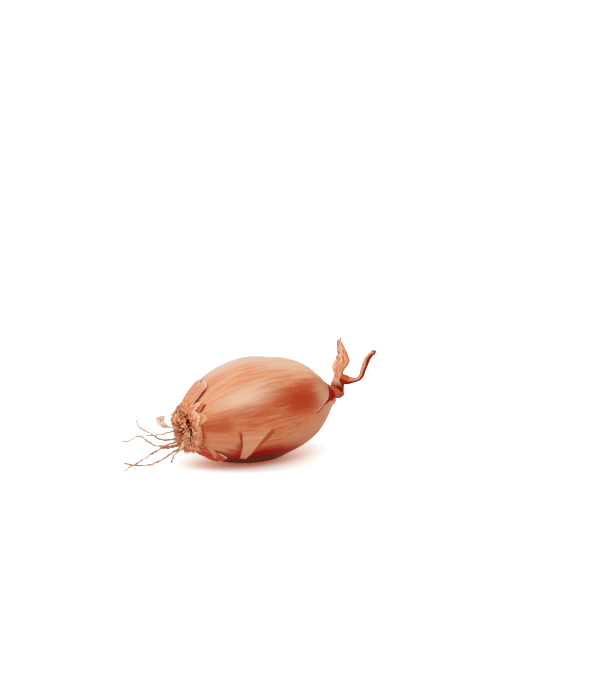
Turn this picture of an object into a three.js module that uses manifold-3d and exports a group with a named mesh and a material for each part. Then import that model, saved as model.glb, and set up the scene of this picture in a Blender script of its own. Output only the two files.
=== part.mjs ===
// A whole shallot: a dry-skinned bulb lying on its side, with the root plate and its tuft of
// roots, torn remnants of the outer skin, and the neck with the two dried leaves left on it.
// Millimetres. +X runs from the root end to the neck and +Z is up. The origin is on the small
// flat spot that the bulb rests on, below its centre of mass.

import * as THREE from "three";
import { mergeVertices } from "three/addons/utils/BufferGeometryUtils.js";
import Module from "manifold-3d";

const GAP = 0.35; // clear space between pieces that lie against each other
const SKIN = 0.35; // thickness given to a loose piece of dry skin
const NECK_PITCH = THREE.MathUtils.degToRad(5); // how far the neck end is tipped up

// The bulb: half heights at stations counted along its axis from the root end.
const BULB = {
  rootEnd: new THREE.Vector3(-26.5, 0, 14.85),
  length: 56.2,
  arch: 1.1, // how far the middle of the axis bows upwards
  stations: [0, 3, 7, 13, 20, 27, 34, 41, 46.5, 51, 54, 56.2],
  radii: [8.2, 10.65, 13.1, 16.0, 17.8, 18.25, 17.0, 15.35, 12.6, 8.7, 5.4, 3.1],
  widen: 1.05, // how much wider than high its section is
  belly: { station: 32, reach: 8, depth: 0.7 }, // where the underside hangs lower
  rings: 36,
  sides: 56,
};
const NECK_DOME = 0.25; // how far the neck end bulges
// The root end is dished, and the root plate sits in the dish a little below the axis.
const DISH = { depth: 1.4, radius: 6.9 };
const PLATE = { radius: 5.2, thickness: 1.6, drop: 1.3 };

const COLOUR = {
  bulb: 0xd98a5c,
  plate: 0x8a4a30,
  neck: 0xbd5e3b,
  leaf: 0xdc9570,
  looseSkin: 0xd08c64,
  underSkin: 0xb5512f,
  collar: 0xd9a27c,
  root: 0xc98a66,
  paleSkin: 0xecd8c6,
};

const wasm = await Module();
wasm.setup();

const shallot = new THREE.Group();
shallot.name = "shallot";

function addPiece(name, geometry, color, roughness) {
  const material = new THREE.MeshStandardMaterial({ color, roughness, metalness: 0 });
  const mesh = new THREE.Mesh(geometry, material);
  mesh.name = name;
  shallot.add(mesh);
}

// ---------------------------------------------------------------------------
// Closed bodies.

// Joins the shared vertices of a closed shape and turns its faces outwards.
function closedBody(geometry) {
  geometry.deleteAttribute("normal");
  geometry.deleteAttribute("uv");
  const body = mergeVertices(geometry, 1e-4);
  const corner = [new THREE.Vector3(), new THREE.Vector3(), new THREE.Vector3()];
  const { position } = body.attributes;
  const index = body.index.array;
  let volume = 0;
  for (let i = 0; i < index.length; i += 3) {
    corner.forEach((point, k) => point.fromBufferAttribute(position, index[i + k]));
    volume += corner[0].dot(corner[1].cross(corner[2]));
  }
  if (volume < 0) index.reverse();
  return body;
}

// Moves every vertex of a unit shape to the place that the function gives for it.
function reshape(geometry, place) {
  const { position } = geometry.attributes;
  const point = new THREE.Vector3();
  for (let i = 0; i < position.count; i++) {
    point.fromBufferAttribute(position, i);
    position.setXYZ(i, ...place(point));
  }
  return closedBody(geometry);
}

function toSolid(body) {
  return new wasm.Manifold(
    new wasm.Mesh({
      numProp: 3,
      vertProperties: new Float32Array(body.attributes.position.array),
      triVerts: new Uint32Array(body.index.array),
    }),
  );
}

function fromSolid(solid) {
  const { vertProperties, triVerts } = solid.getMesh();
  const geometry = new THREE.BufferGeometry();
  geometry.setAttribute("position", new THREE.BufferAttribute(vertProperties, 3));
  geometry.setIndex(new THREE.BufferAttribute(triVerts, 1));
  return geometry;
}

// ---------------------------------------------------------------------------
// The bulb's surface. A place on it is a station along the axis and an angle round it in
// degrees: 0 is the top, 90 the front (-Y) and 180 the underside.

const along = new THREE.Vector3(Math.cos(NECK_PITCH), 0, Math.sin(NECK_PITCH));
const above = new THREE.Vector3(-Math.sin(NECK_PITCH), 0, Math.cos(NECK_PITCH));
const front = new THREE.Vector3(0, -1, 0);
const bulbRadius = new THREE.CubicInterpolant(BULB.stations, BULB.radii, 1);

function centreLine(station) {
  const t = station / BULB.length;
  return BULB.rootEnd
    .clone()
    .addScaledVector(along, station)
    .addScaledVector(above, BULB.arch * 4 * t * (1 - t));
}

function bellyAt(station, angle) {
  const { belly } = BULB;
  const share = Math.exp(-(((station - belly.station) / belly.reach) ** 2));
  return belly.depth * share * Math.max(0, -Math.cos(angle)) ** 2;
}

function aroundAxis(station, degrees, radius) {
  const angle = THREE.MathUtils.degToRad(degrees);
  return centreLine(station)
    .addScaledVector(above, radius * Math.cos(angle) - bellyAt(station, angle))
    .addScaledVector(front, radius * Math.sin(angle) * BULB.widen);
}

function radiusAt(station) {
  return bulbRadius.evaluate(THREE.MathUtils.clamp(station, 0, BULB.length))[0];
}

function onBulb(station, degrees, lift) {
  return aroundAxis(station, degrees, radiusAt(station) + lift);
}

// ---------------------------------------------------------------------------
// Bulb: one turned body, a little flattened and bowed along its axis, with the flat spot cut
// on its underside.

function bulbProfile() {
  const profile = [
    new THREE.Vector2(0, DISH.depth),
    new THREE.Vector2(DISH.radius, DISH.depth),
    new THREE.Vector2(DISH.radius + 0.4, 0.1),
  ];
  for (let ring = 0; ring <= BULB.rings; ring++) {
    const station = (BULB.length * ring) / BULB.rings;
    profile.push(new THREE.Vector2(radiusAt(station), station));
  }
  profile.push(new THREE.Vector2(0, BULB.length + NECK_DOME));
  return profile;
}

function makeBulb() {
  const turned = reshape(new THREE.LatheGeometry(bulbProfile(), BULB.sides), (point) => {
    const degrees = THREE.MathUtils.radToDeg(Math.atan2(point.x, point.z));
    return aroundAxis(point.y, degrees, Math.hypot(point.x, point.z));
  });
  const reach = 200;
  const ground = new THREE.BoxGeometry(reach, reach, reach).translate(0, 0, -reach / 2);
  return fromSolid(toSolid(turned).subtract(toSolid(closedBody(ground))));
}

addPiece("bulb", makeBulb(), COLOUR.bulb, 0.4);

// ---------------------------------------------------------------------------
// Root plate: the corky disc that the roots grow from, a little below the bulb's axis.

function makeRootPlate() {
  const back = DISH.depth - GAP;
  const { radius, thickness, drop } = PLATE;
  const profile = [
    new THREE.Vector2(0, back - thickness * 0.7),
    new THREE.Vector2(radius * 0.55, back - thickness),
    new THREE.Vector2(radius * 0.9, back - thickness * 0.7),
    new THREE.Vector2(radius, back - thickness * 0.2),
    new THREE.Vector2(radius * 0.92, back),
    new THREE.Vector2(0, back),
  ];
  return reshape(new THREE.LatheGeometry(profile, 28), (point) =>
    centreLine(point.y)
      .addScaledVector(above, point.z - drop)
      .addScaledVector(front, point.x),
  );
}

addPiece("root_plate", makeRootPlate(), COLOUR.plate, 0.8);

// ---------------------------------------------------------------------------
// Stalks: the neck, the dried leaves and the roots are closed tubes with an oval section
// that follow a few points.

const toVectors = (points) => points.map((point) => new THREE.Vector3(...point));

// halves gives [half width, half thickness] at even steps from the start to the end, and
// facing is the way that the flat side of the section looks.
function makeStalk(points, halves, { sides = 6, steps = 8, facing = [0, -1, 0.2], turn = 0 } = {}) {
  const path = new THREE.CatmullRomCurve3(toVectors(points), false, "centripetal");
  const look = new THREE.Vector3(...facing).normalize();
  const last = halves.length - 1;
  const halfAt = (t, k) => {
    const low = Math.min(Math.floor(t * last), last - 1);
    return THREE.MathUtils.lerp(halves[low][k], halves[low + 1][k], t * last - low);
  };
  return reshape(new THREE.CylinderGeometry(1, 1, 1, sides, steps), (point) => {
    const t = THREE.MathUtils.clamp(point.y + 0.5, 0, 1);
    const tangent = path.getTangentAt(t);
    const across = look.clone().cross(tangent).normalize();
    across.applyAxisAngle(tangent, THREE.MathUtils.degToRad(turn * t));
    const outward = tangent.clone().cross(across);
    return path
      .getPointAt(t)
      .addScaledVector(across, point.x * halfAt(t, 0))
      .addScaledVector(outward, point.z * halfAt(t, 1));
  });
}

// Neck: the dried stem above the bulb. It leaves along the axis and folds sharply upwards.
const neckStart = centreLine(BULB.length + NECK_DOME + GAP).addScaledVector(above, 0.7);
const neckPath = [
  neckStart.toArray(),
  neckStart.clone().addScaledVector(along, 1).toArray(),
  [32.6, -0.9, 22.4],
  [32.2, -0.2, 25],
  [32.5, 0, 26.9],
];
const neckHalves = [
  [1.9, 1.9],
  [2.2, 2.1],
  [2.4, 2.1],
  [2.2, 1.6],
  [1.8, 1.2],
];
addPiece("neck", makeStalk(neckPath, neckHalves, { sides: 14, steps: 14 }), COLOUR.neck, 0.7);

// Broad leaf: papery, wrinkled lengthwise, and widest a third of the way up.
const broadLeafPath = [
  [32.6, 0.1, 27.4],
  [33.4, 0.6, 29.5],
  [34.5, 0.8, 31.3],
  [35.0, 1.4, 33.6],
  [34.8, 2.4, 35.7],
  [34.7, 3.2, 37.4],
  [35.0, 3.7, 39.2],
];
const broadLeafHalves = [
  [1.9, 1.0],
  [2.6, 0.7],
  [2.7, 0.6],
  [1.9, 0.55],
  [1.45, 0.5],
  [0.9, 0.45],
  [0.4, 0.3],
];
addPiece(
  "leaf_broad",
  makeStalk(broadLeafPath, broadLeafHalves, { sides: 12, steps: 16 }),
  COLOUR.leaf,
  0.7,
);

// Thin leaf: a rolled strand that leaves the fold of the neck, sags and turns up again.
const thinLeafPath = [
  [34.9, -1.5, 25.2],
  [36.9, -2.8, 24.8],
  [38.8, -3.7, 25.2],
  [39.9, -4.1, 26.7],
  [40.7, -4.3, 28.7],
  [41.5, -4.3, 30.8],
  [42.3, -4.3, 32.9],
  [43.5, -4.8, 34.2],
  [44.5, -5.2, 35.4],
];
const thinLeafHalves = [
  [1.6, 0.9],
  [1.0, 0.8],
  [0.8, 0.7],
  [0.9, 0.7],
  [0.8, 0.6],
  [0.9, 0.5],
  [1.2, 0.45],
  [0.8, 0.5],
  [0.9, 0.45],
];
addPiece(
  "leaf_thin",
  makeStalk(thinLeafPath, thinLeafHalves, { sides: 10, steps: 24 }),
  COLOUR.leaf,
  0.7,
);

// ---------------------------------------------------------------------------
// Loose skin: thin pieces that lie on the bulb. Each is stretched between two edges, given as
// places on the bulb [station, angle, lift].

function makeSkin(firstEdge, secondEdge, { lengthwise = 8, crosswise = 6, thickness = SKIN } = {}) {
  const first = new THREE.CatmullRomCurve3(toVectors(firstEdge));
  const second = new THREE.CatmullRomCurve3(toVectors(secondEdge));
  const sheet = new THREE.BoxGeometry(1, 1, 1, lengthwise, crosswise, 1);
  return reshape(sheet, (point) => {
    const t = point.x + 0.5;
    const place = first.getPoint(t).lerp(second.getPoint(t), point.y + 0.5);
    return onBulb(place.x, place.y, place.z + (point.z + 0.5) * thickness);
  });
}

// Over the shoulder: a strip of the outer skin, torn off short, with one free edge.
addPiece(
  "skin_shoulder",
  makeSkin(
    [[1.9, 29, GAP], [4.2, 25, 0.5], [7.6, 20, 0.8]],
    [[1.6, -62, GAP], [4.5, -57, 0.4], [8.0, -50, 0.6]],
    { lengthwise: 6, crosswise: 12 },
  ),
  COLOUR.looseSkin,
  0.55,
);

// On the front: a dull piece that ends in a crack across the bulb.
addPiece(
  "skin_front",
  makeSkin(
    [[5, 88, GAP], [8.3, 88, GAP], [12.1, 94, 0.5]],
    [[4.8, 128, GAP], [9.2, 134, GAP], [13.2, 131, 0.5]],
  ),
  COLOUR.looseSkin,
  0.6,
);

// Beside it: a pointed piece whose free edge runs slantwise down to the underside.
addPiece(
  "skin_pointed",
  makeSkin(
    [[12.7, 97, GAP], [13.3, 116, GAP], [13.9, 136, GAP]],
    [[24.2, 92, 0.6], [21.2, 100, 0.5], [18.1, 114, 0.5], [15.6, 134, 0.6]],
    { lengthwise: 9, crosswise: 8 },
  ),
  COLOUR.looseSkin,
  0.6,
);

// The strip of the next skin that shows along that slanted edge.
addPiece(
  "skin_strip",
  makeSkin(
    [[25, 92, GAP], [21.9, 101, GAP], [18.9, 114, GAP], [17.3, 124, GAP]],
    [[26.9, 96, GAP], [25.4, 102, GAP], [21, 111, GAP], [18, 124, GAP]],
    { lengthwise: 9, crosswise: 2 },
  ),
  COLOUR.underSkin,
  0.5,
);

// Under the root end: a curled crescent of skin.
addPiece(
  "skin_crescent",
  makeSkin(
    [[3.4, 139, GAP], [6.2, 140, 0.5], [9.6, 142, 0.7]],
    [[3.2, 166, GAP], [6.4, 165, 0.6], [9, 159, 0.9]],
    { lengthwise: 7, crosswise: 5 },
  ),
  COLOUR.underSkin,
  0.6,
);

// Collar: the frayed stubs of older skins, in a ring round the root plate. The list gives the
// station that each one reaches over the bulb, from the top round by the front.
const COLLAR = {
  reach: [1.1, 4.8, 4.1, 3.3, 2.4, 1.9, 2.8, 3.6, 2.8, 1.1, 1.1],
  firstAngle: 12,
  thickness: 0.3,
};

COLLAR.reach.forEach((reach, i) => {
  const pitch = 360 / COLLAR.reach.length;
  const middle = COLLAR.firstAngle + pitch * i;
  const halfBase = pitch * 0.46;
  const halfTip = pitch * 0.34;
  const edge = (side) => [
    [-1.5, middle + side * halfBase, -0.9],
    [-0.4, middle + side * halfBase, 0.3],
    [reach * 0.6, middle + side * halfBase, 0.5],
    [reach, middle + side * halfTip, 0.7],
  ];
  const size = { lengthwise: 7, crosswise: 4, thickness: COLLAR.thickness };
  addPiece(`collar_stub_${i + 1}`, makeSkin(edge(-1), edge(1), size), COLOUR.collar, 0.7);
});

// ---------------------------------------------------------------------------
// Roots. The long ones trail away from the lower rim of the plate.

const LONG_ROOTS = {
  upper: [
    [-28, 1, 10.9],
    [-33.4, 3.7, 10.1],
    [-37.1, 7.2, 12.3],
    [-39.4, 9.9, 13.8],
    [-39.9, 11.8, 16.1],
  ],
  kinked: [
    [-28, 0.2, 10.1],
    [-34.7, 2.7, 8.3],
    [-37.2, 4.2, 8.9],
    [-41.0, 6.8, 11.8],
    [-43.4, 7.7, 10.4],
    [-46.4, 9.1, 9.5],
  ],
  lowest: [[-28, -0.6, 9.4], [-36, 1.2, 7.6], [-39.7, 1.6, 5.7], [-43.9, 2.2, 3.4], [-48.4, 3.1, 1.2]],
  bowed: [
    [-28, -1.4, 8.9],
    [-33.6, -1.5, 5.9],
    [-37.0, -1.1, 4.2],
    [-41.2, -0.1, 3.1],
    [-45.3, 1.1, 3.4],
    [-48.4, 2.1, 4.3],
  ],
  hooked: [[-28.1, -2.3, 8.6], [-32.3, -2.9, 5.9], [-33.3, -3.3, 3.8]],
  straight: [[-28.3, 2.1, 13.3], [-34.9, 3.7, 12.1], [-39.0, 4.2, 12.2]],
  stout: [[-28, 0.5, 8.6], [-33.6, -0.1, 8.1], [-36.4, -0.3, 9.0]],
  blunt: [[-28.2, -3, 10.4], [-30.1, -3.5, 7.6]],
};
const LONG_ROOT_HALVES = [
  [0.36, 0.33],
  [0.27, 0.25],
  [0.2, 0.18],
];

for (const [name, points] of Object.entries(LONG_ROOTS)) {
  const steps = Math.max(4, points.length * 2);
  addPiece(`root_${name}`, makeStalk(points, LONG_ROOT_HALVES, { steps }), COLOUR.root, 0.8);
}

// A pale papery scrap stands up among the roots and curls back on itself.
addPiece(
  "root_scrap",
  makeStalk(
    [[-28.6, 1.4, 14.1], [-32.6, 3.3, 14.9], [-34.1, 4.4, 16.9], [-32.2, 4.0, 17.9]],
    [[0.5, 0.25], [0.9, 0.25], [1.1, 0.25], [0.6, 0.25]],
    { sides: 8, steps: 8, facing: [0.3, -1, 0] },
  ),
  COLOUR.paleSkin,
  0.8,
);

// The short roots stand on the plate in a sunflower pattern and lean outwards.
const SHORT_ROOTS = 16;
const GOLDEN_ANGLE = 137.508;
const FIRST_ROOT_ANGLE = 45;
const SHORT_ROOT_HALVES = [
  [0.34, 0.34],
  [0.26, 0.26],
  [0.16, 0.16],
];

for (let i = 0; i < SHORT_ROOTS; i++) {
  const spread = Math.sqrt((i + 0.5) / SHORT_ROOTS);
  const angle = THREE.MathUtils.degToRad(FIRST_ROOT_ANGLE + i * GOLDEN_ANGLE);
  const length = 5 - 1.6 * spread;
  const outwards = new THREE.Vector3()
    .addScaledVector(above, Math.cos(angle))
    .addScaledVector(front, Math.sin(angle));
  const foot = centreLine(DISH.depth - PLATE.thickness - 2 * GAP)
    .addScaledVector(above, -PLATE.drop)
    .addScaledVector(outwards, PLATE.radius * spread * 0.85);
  const place = (forward, sideways) =>
    foot
      .clone()
      .addScaledVector(along, -forward)
      .addScaledVector(outwards, sideways)
      .toArray();
  const points = [
    place(0, 0),
    place(length * 0.5, length * 0.25 * spread),
    place(length * 0.8, length * 0.75 * spread),
  ];
  const root = makeStalk(points, SHORT_ROOT_HALVES, { sides: 5, steps: 4 });
  addPiece(`root_short_${i + 1}`, root, COLOUR.root, 0.8);
}

export default shallot;
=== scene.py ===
"""A whole shallot lying on its side: glossy bulb, torn loose skins, root tuft and dried neck."""

import math
import random
from functools import partialmethod

import bmesh
import bpy
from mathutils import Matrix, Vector, noise
from mathutils.bvhtree import BVHTree


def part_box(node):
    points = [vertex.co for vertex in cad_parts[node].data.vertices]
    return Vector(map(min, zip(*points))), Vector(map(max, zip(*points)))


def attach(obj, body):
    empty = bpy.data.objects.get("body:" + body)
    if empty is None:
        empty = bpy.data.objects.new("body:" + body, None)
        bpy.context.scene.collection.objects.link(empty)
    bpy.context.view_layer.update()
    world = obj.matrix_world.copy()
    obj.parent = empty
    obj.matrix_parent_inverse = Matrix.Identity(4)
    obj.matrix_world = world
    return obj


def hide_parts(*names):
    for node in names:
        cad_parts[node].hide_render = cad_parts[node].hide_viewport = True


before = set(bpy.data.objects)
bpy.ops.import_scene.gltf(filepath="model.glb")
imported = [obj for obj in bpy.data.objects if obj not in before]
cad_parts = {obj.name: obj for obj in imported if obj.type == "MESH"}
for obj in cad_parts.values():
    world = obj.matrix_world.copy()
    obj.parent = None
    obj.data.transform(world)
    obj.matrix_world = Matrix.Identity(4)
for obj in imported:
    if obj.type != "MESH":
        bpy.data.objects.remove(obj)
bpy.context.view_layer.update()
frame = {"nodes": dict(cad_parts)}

MM = 0.001

# --------------------------------------
# Stage. A white table under a white sky, two soft boxes, and a camera with an 85 mm lens that
# looks slightly down on the shallot from its root end.

scene = bpy.context.scene
scene.view_settings.view_transform = "Standard"

VIEW_AZIMUTH = math.radians(-27)
VIEW_PITCH = math.radians(11.7)
VIEW_DISTANCE = 0.562
VIEW_AIM = Vector((0.0176, 0.0007, 0.0407))

toward_camera = Vector(
    (
        math.sin(VIEW_AZIMUTH) * math.cos(VIEW_PITCH),
        -math.cos(VIEW_AZIMUTH) * math.cos(VIEW_PITCH),
        math.sin(VIEW_PITCH),
    )
)
camera_data = bpy.data.cameras.new("camera")
camera_data.lens = 85
camera_data.sensor_width = 36
camera_data.clip_start = 0.01
camera = bpy.data.objects.new("camera", camera_data)
camera.location = VIEW_AIM + toward_camera * VIEW_DISTANCE
camera.rotation_euler = toward_camera.to_track_quat("Z", "Y").to_euler()
scene.collection.objects.link(camera)
scene.camera = camera


def soft_box(name, place, size, power):
    """A rectangular lamp that faces the middle of the bulb."""
    lamp = bpy.data.lights.new(name, "AREA")
    lamp.shape = "RECTANGLE"
    lamp.size, lamp.size_y = size
    lamp.energy = power
    box = bpy.data.objects.new(name, lamp)
    box.location = place
    box.rotation_euler = (Vector(place) - Vector((0, 0, 0.018))).to_track_quat("Z", "Y").to_euler()
    scene.collection.objects.link(box)


soft_box("overhead_box", (-0.6, 0.05, 0.66), (0.45, 0.45), 1.3)
soft_box("front_box", (-0.16, -0.5, 0.58), (0.55, 0.3), 1.3)


class Signal:
    """A value in a material: arithmetic on it adds Math nodes."""

    def __init__(self, paint, socket):
        self.paint = paint
        self.socket = socket

    def math(self, operation, *values):
        sockets = dict(enumerate((self, *values)))
        return self.paint.node("Math", {"operation": operation}, sockets)

    __add__ = __radd__ = partialmethod(math, "ADD")
    __mul__ = __rmul__ = partialmethod(math, "MULTIPLY")
    __sub__ = partialmethod(math, "SUBTRACT")

    def __rsub__(self, other):
        return self * -1 + other

    def between(self, low, high):
        """Nought below low, one above high, and a smooth step from one to the other."""
        settings = {"interpolation_type": "SMOOTHSTEP"}
        sockets = {"Value": self, "From Min": low, "From Max": high}
        return self.paint.node("MapRange", settings, sockets)


def srgb(red, green, blue):
    """A colour given in the 0 to 255 steps of a screen, as a shader's linear colour."""
    steps = (red / 255, green / 255, blue / 255)
    return tuple(s / 12.92 if s <= 0.04045 else ((s + 0.055) / 1.055) ** 2.4 for s in steps) + (1,)


class Paint:
    """A material in the making, or the look of the world."""

    def __init__(self, name, world=None):
        self.material = world or bpy.data.materials.new(name)
        self.material.use_nodes = True
        self.tree = self.material.node_tree
        self.surface = self.tree.nodes["Background" if world else "Principled BSDF"]

    def connect(self, value, socket):
        if isinstance(value, Signal):
            self.tree.links.new(value.socket, socket)
        else:
            socket.default_value = value

    def node(self, kind, settings, sockets, output=0):
        """Any node: its settings first, then the values or links of its sockets."""
        node = self.tree.nodes.new("ShaderNode" + kind)
        for name, value in settings.items():
            setattr(node, name, value)
        for name, value in sockets.items():
            self.connect(value, node.inputs[name])
        return Signal(self, node.outputs[output])

    def place(self):
        return self.node("TexCoord", {}, {}, "Object")

    def attribute(self, name, output="Fac"):
        return self.node("Attribute", {"attribute_name": name}, {}, output)

    def stretched(self, vector, across, along):
        """Coordinates round the bulb that run slowly along it, for what follows the veins."""
        sockets = {"Vector": vector, "Scale": (across, across, along)}
        return self.node("Mapping", {}, sockets)

    def vector(self, operation, *values):
        output = "Value" if operation == "LENGTH" else "Vector"
        sockets = dict(enumerate(values))
        return self.node("VectorMath", {"operation": operation}, sockets, output)

    def noise(self, vector, scale, detail=3, roughness=0.5):
        sockets = {"Vector": vector, "Scale": scale, "Detail": detail, "Roughness": roughness}
        return self.node("TexNoise", {}, sockets)

    def mix(self, factor, *colours):
        """A mix of two colours: signals, or red, green and blue in steps of a screen."""
        sockets = {0: factor}
        for index, colour in enumerate(colours):
            sockets[6 + index] = colour if isinstance(colour, Signal) else srgb(*colour)
        return self.node("Mix", {"data_type": "RGBA"}, sockets, 2)

    def layered(self, colour, *layers):
        """A colour with others laid over it in this order, each given after its strength."""
        for strength, layer in layers:
            colour = self.mix(strength, colour, layer)
        return colour

    def background_rays(self):
        """One for the rays that see the background, directly or in a reflection."""
        kinds = ("Is Camera Ray", "Is Glossy Ray", "Is Transmission Ray")
        seen, *others = [self.node("LightPath", {}, {}, kind) for kind in kinds]
        for other in others:
            seen = seen.math("MAXIMUM", other)
        return seen

    def finish(self, colour, roughness, relief, depth, specular, coat=0, coat_roughness=0.03):
        """The finished material. Its relief, up to depth high, only bends the light."""
        bump = {"Height": relief, "Strength": 1, "Distance": depth}
        sockets = {
            "Base Color": colour,
            "Roughness": roughness,
            "Normal": self.node("Bump", {}, bump),
            "Specular IOR Level": specular,
            "Coat Weight": coat,
            "Coat Roughness": coat_roughness,
        }
        for name, value in sockets.items():
            self.connect(value, self.surface.inputs[name])
        return self.material


world = bpy.data.worlds.new("white_sky")
scene.world = world
SKY_LIGHT = 0.68
sky = Paint("white_sky", world)
sky.surface.inputs["Color"].default_value = (1, 1, 1, 1)
sky.connect(sky.background_rays().math("MAXIMUM", SKY_LIGHT), sky.surface.inputs["Strength"])

table_mesh = bpy.data.meshes.new("table")
table_bm = bmesh.new()
bmesh.ops.create_grid(table_bm, x_segments=1, y_segments=1, size=4)
table_bm.to_mesh(table_mesh)
table_bm.free()
table = bpy.data.objects.new("table", table_mesh)
scene.collection.objects.link(table)

# The camera sees the table a little brighter than it is, with warm shadows, warm partly from
# light off the shallot and partly from a painted red glow near it, and plain white farther from
# the shallot. The glow rises from its near to its far colour over these ranges.
GLOW_START = 30 * MM
GLOW_END = 120 * MM
GLOW_NEAR = (0.365, 0.057, 0)
GLOW_FAR = (1, 1, 1)
TABLE_LIT = (0.9, 0.9, 0.9, 1)
TABLE_SEEN = (0.92, 1.63, 1.72, 1)

floor = Paint("white_table")
floor.tree.nodes.remove(floor.surface)
seen_rays = floor.background_rays()
glow_range = {
    6: floor.vector("LENGTH", floor.place()),
    7: (GLOW_START, GLOW_START, GLOW_START),
    8: (GLOW_END, GLOW_END, GLOW_END),
    9: GLOW_NEAR,
    10: GLOW_FAR,
}
smooth_vector = {"data_type": "FLOAT_VECTOR", "interpolation_type": "SMOOTHSTEP"}
glow = floor.node("MapRange", smooth_vector, glow_range, 1)
whites = {0: seen_rays, 6: TABLE_LIT, 7: TABLE_SEEN}
white = floor.node("Mix", {"data_type": "RGBA"}, whites, 2)
layers = {
    0: floor.node("BsdfDiffuse", {}, {"Color": white}),
    1: floor.node("Emission", {}, {"Color": glow, "Strength": seen_rays}),
}
table_output = floor.tree.nodes["Material Output"]
table_shader = floor.node("AddShader", {}, layers)
floor.connect(table_shader, table_output.inputs["Surface"])
table_mesh.materials.append(floor.material)

# --------------------------------------
# Bulb. The fleshy body in its outermost whole skin: dry, thin, glossy and finely veined from
# the root end to the neck. Two skins overlap in a fold below the neck.


def merged_copy(node):
    """A bmesh of a CAD node with its loose triangles joined up into faces."""
    bm = bmesh.new()
    bm.from_mesh(frame["nodes"][node].data)
    bmesh.ops.remove_doubles(bm, verts=bm.verts, dist=2e-6)
    return bm


def refine(bm, cuts):
    """Smooths the flat faces of a CAD solid: pairs of triangles become curved grids."""
    limits = {"angle_face_threshold": 0.3, "angle_shape_threshold": 3.1}
    bmesh.ops.join_triangles(bm, faces=bm.faces, **limits)
    bmesh.ops.subdivide_edges(bm, edges=bm.edges, cuts=cuts, use_grid_fill=True, smooth=1)


def add_piece(name, bm, paint, node):
    """An object made from a bmesh, which rides on the one body in place of a CAD node."""
    mesh = bpy.data.meshes.new(name)
    for face in bm.faces:
        face.smooth = True
    bm.to_mesh(mesh)
    bm.free()
    piece = bpy.data.objects.new(name, mesh)
    mesh.materials.append(paint)
    scene.collection.objects.link(piece)
    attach(piece, "root")
    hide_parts(node)


def ramp(low, high, value):
    """Nought at low, one at high, and a smooth step from one to the other."""
    share = min(max((value - low) / (high - low), 0), 1)
    return share * share * (3 - 2 * share)


def noise_at(x, y, z):
    return noise.noise(Vector((x, y, z)))


def along_points(points, value):
    """The height at value of a line through points [(value, height), ...]."""
    for (low, first), (high, second) in zip(points, points[1:]):
        if value <= high:
            return first + (second - first) * ramp(low, high, value)
    return points[-1][1]


bulb_cad = merged_copy("bulb")
by_edges = sorted(bulb_cad.verts, key=lambda vertex: len(vertex.link_edges))
root_pole, neck_pole = sorted((vertex.co.copy() for vertex in by_edges[-2:]), key=lambda co: co.x)
axis = (neck_pole - root_pole).normalized()
front = Vector((0, -1, 0))
above = front.cross(axis).normalized()
DISH_DEPTH = 1.4 * MM  # how far the root end's middle lies behind its rim
BULB_LENGTH = (neck_pole - root_pole).length + DISH_DEPTH

refine(bulb_cad, 1)
bulb_surface = BVHTree.FromBMesh(bulb_cad)
bulb_cad.free()


def outward(angle):
    turn = math.radians(angle)
    return above * math.cos(turn) + front * math.sin(turn)


def on_bulb(station, angle):
    """A point of the CAD surface. Past the ends it keeps the end's own radius."""
    inside = min(max(station, 0.3 * MM), BULB_LENGTH - 0.5 * MM)
    middle = root_pole + axis * (inside - DISH_DEPTH)
    away = outward(angle)
    hit = bulb_surface.ray_cast(middle + away * 0.04, -away, 0.04)[0]
    return (hit or middle) + axis * (station - inside)


# The fold: its upper and lower edge as [(station in mm, angle)]. The skin above it ends in a
# thin lip, and the hollow below the lip shows the skin beneath.
FOLD_UPPER = [(41.5, 92), (43.5, 90.5), (44.8, 87.5), (47.2, 82.5), (49.8, 78.5), (50.8, 72.5)]
FOLD_UPPER += [(52.1, 59), (52.8, 34), (54.0, 18), (57, 6)]
FOLD_LOWER = [(41.5, 92.5), (43.1, 93), (44.8, 90.3), (47.4, 86.5), (51, 86.5), (55.4, 97.5)]
FOLD_LOWER += [(57, 104)]
FOLD_DEPTH = 0.8 * MM
SKIN_RELIEF = 0.12 * MM  # how deep the finest lines are, which only bend the light
VEINS = 21  # how closely the veins stand round the bulb
VEIN_HEIGHT = 0.03 * MM
WAVE_HEIGHT = 0.14 * MM


def fold_marks(station, angle, radius):
    """How far a place is inside the fold's hollow and on its lip, each from 0 to 1."""
    here = station / MM
    if here < FOLD_UPPER[0][0]:
        return 0, 0
    per_degree = radius / MM * math.pi / 180
    from_upper = (angle - along_points(FOLD_UPPER, here)) * per_degree
    from_lower = (along_points(FOLD_LOWER, here) - angle) * per_degree
    hollow = ramp(0, 0.3, from_upper) * ramp(0, 0.3, from_lower)
    lip = ramp(-1.4, -0.1, from_upper) * ramp(42, 45, here) * (1 - hollow)
    return hollow, lip * ramp(-0.2, 0.2, from_lower)


def bulb_relief(station, angle, radius):
    """How far the skin stands above the CAD surface: waves, veins, the lip and the fold."""
    turn = math.radians(angle)
    here = Vector((math.cos(turn), math.sin(turn), station / BULB_LENGTH))
    wave = noise_at(here.x * 1.6, here.y * 1.6, here.z * 1.5 + 3)
    vein = noise_at(here.x * VEINS, here.y * VEINS, here.z * 1.6)
    fine = noise_at(here.x * VEINS * 2.6, here.y * VEINS * 2.6, here.z * 3)
    hollow, lip = fold_marks(station, angle, radius)
    relief = wave * WAVE_HEIGHT + (vein + fine * 0.4) * VEIN_HEIGHT
    return relief + 0.15 * MM * lip - FOLD_DEPTH * hollow


RIM_SLOPE = 1.5 * MM  # how much lower the rim is on top and below, where it slopes to the roots


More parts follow.
